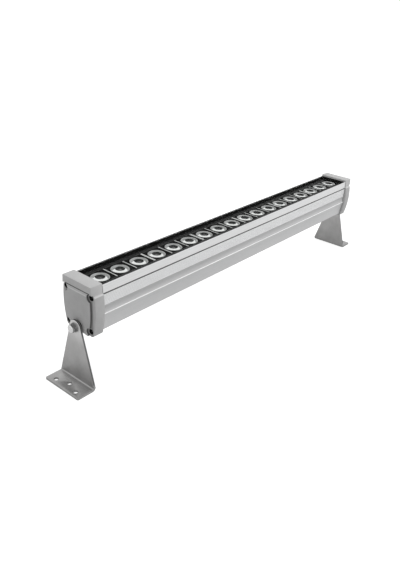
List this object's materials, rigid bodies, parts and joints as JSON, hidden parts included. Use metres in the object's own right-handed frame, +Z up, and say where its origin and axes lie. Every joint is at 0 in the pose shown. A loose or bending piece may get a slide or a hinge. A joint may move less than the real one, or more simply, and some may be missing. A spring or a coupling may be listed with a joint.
{
  "type": "linear wall washer light",
  "caption": "Slim extruded outdoor floodlight bar with a row of lensed lights under flat glass, tilting on two L-shaped screw-down feet.",
  "frame": {"origin": "on the mounting surface, midway between the two feet", "axes": "+X along the lamp towards the cap with the cable gland, +Y towards the back long side, +Z up out of the glass at rest"},
  "size_m": [0.548, 0.05, 0.1112],
  "materials": {
    "anodised_housing": "satin anodised extrusion with fine ribs along the sides",
    "cast_cap": "fine-grained grey powder coat on a casting",
    "clear_glass": "clear toughened glass",
    "black_rubber": "matt black rubber",
    "thermal_silicone": "soft grey silicone pad",
    "led_package": "white package with a clear dome",
    "divider_grey": "bare bright strip",
    "black_plastic": "black moulded plastic",
    "board_face": "aluminium-core circuit board with black solder mask",
    "holder_black": "black moulded plastic",
    "clear_lens": "clear moulded acrylic",
    "steel_fastener": "bright stainless steel",
    "copper_link": "tinned copper strip",
    "driver_shell": "bare aluminium",
    "circuit_board": "glass-fibre circuit board",
    "dark_core": "ferrite core with a taped winding",
    "capacitor_sleeve": "dark shrink sleeve",
    "terminal_plastic": "white moulded plastic",
    "wire_insulation": "red wire insulation",
    "bracket_steel": "satin stainless steel sheet",
    "spacer_nylon": "black nylon friction washer"
  },
  "bodies": {
    "left_foot": {"left_bracket": "bracket_steel"},
    "lamp": {"housing": "anodised_housing", "glass_cover": "clear_glass", "glass_seal": "black_rubber", "thermal_pad": "thermal_silicone", "led_emitters": "led_package", "divider_blades": "divider_grey", "rear_glare_rail": "black_plastic", "front_glare_rail": "black_plastic", "board_screws": "steel_fastener", "board_links": "copper_link", "gland_locknut": "black_plastic", "driver_pad": "thermal_silicone", "driver_case": "driver_shell", "driver_lid": "driver_shell", "driver_board": "circuit_board", "driver_transformer": "dark_core", "driver_capacitors": "capacitor_sleeve", "terminal_block": "terminal_plastic", "output_leads": "wire_insulation", "input_leads": "wire_insulation", "left_end_cap": "cast_cap", "right_end_cap": "cast_cap", "gland_body": "black_plastic", "gland_nut": "black_plastic", "gland_bush": "black_rubber", "led_board_1": "board_face", "lens_holders_1": "holder_black", "lenses_1": "clear_lens", "led_board_2": "board_face", "lens_holders_2": "holder_black", "lenses_2": "clear_lens", "led_board_3": "board_face", "lens_holders_3": "holder_black", "lenses_3": "clear_lens", "led_board_4": "board_face", "lens_holders_4": "holder_black", "lenses_4": "clear_lens", "led_board_5": "board_face", "lens_holders_5": "holder_black", "lenses_5": "clear_lens", "led_board_6": "board_face", "lens_holders_6": "holder_black", "lenses_6": "clear_lens", "left_gasket": "black_rubber", "left_cap_screws": "steel_fastener", "left_screw_sleeves": "black_rubber", "left_spacer": "spacer_nylon", "left_washer": "steel_fastener", "left_spring_washer": "steel_fastener", "left_pivot_bolt": "steel_fastener", "right_gasket": "black_rubber", "right_cap_screws": "steel_fastener", "right_screw_sleeves": "black_rubber", "right_spacer": "spacer_nylon", "right_washer": "steel_fastener", "right_spring_washer": "steel_fastener", "right_pivot_bolt": "steel_fastener"},
    "right_foot": {"right_bracket": "bracket_steel"}
  },
  "joints": [
    {"name": "tilt", "type": "hinge", "parent": "left_foot", "child": "lamp", "pos_m": [-0.2528, 0, 0.063], "axis": [1, 0, 0], "range_deg": [-90, 90]},
    {"name": "right_foot_pivot", "type": "hinge", "parent": "lamp", "child": "right_foot", "pos_m": [0.2528, 0, 0.063], "axis": [1, 0, 0], "range_deg": [-90, 90]}
  ],
  "couplings": [
    {"joint": "right_foot_pivot", "follows": "tilt", "ratio": -1}
  ]
}
